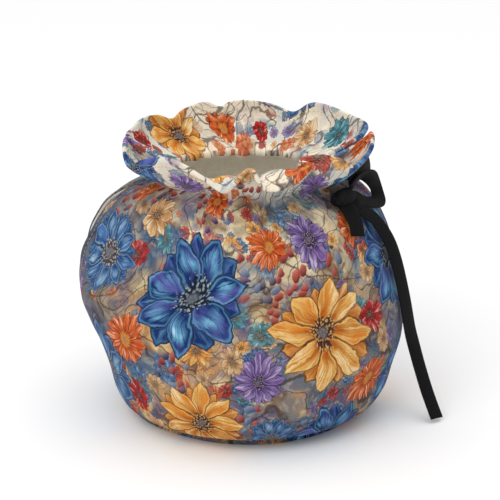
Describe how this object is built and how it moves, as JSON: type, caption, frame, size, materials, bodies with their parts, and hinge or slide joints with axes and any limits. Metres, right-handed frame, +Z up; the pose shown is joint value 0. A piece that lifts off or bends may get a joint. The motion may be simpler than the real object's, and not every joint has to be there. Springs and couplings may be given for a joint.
{
  "type": "tea cosy",
  "caption": "Hollow gathered cloth cover for a teapot: rounded printed body on a hem, frilled collar open at the top, spout and handle openings in the side seams, ribbon tie.",
  "frame": {"origin": "middle of the cloth cover's footprint, on the plane that the hem stands on", "axes": "+X to the handle side, +Y to the back, +Z up"},
  "size_m": [0.2355, 0.201, 0.1903],
  "materials": {
    "printed_cloth": "matte woven polyester with a floral print",
    "ribbon": "soft matte black ribbon"
  },
  "bodies": {
    "root": {"back_panel": "printed_cloth", "front_panel": "printed_cloth", "ribbon_bow": "ribbon", "ribbon_knot": "ribbon", "ribbon_tail_long": "ribbon", "ribbon_tail_short": "ribbon"}
  },
  "joints": []
}
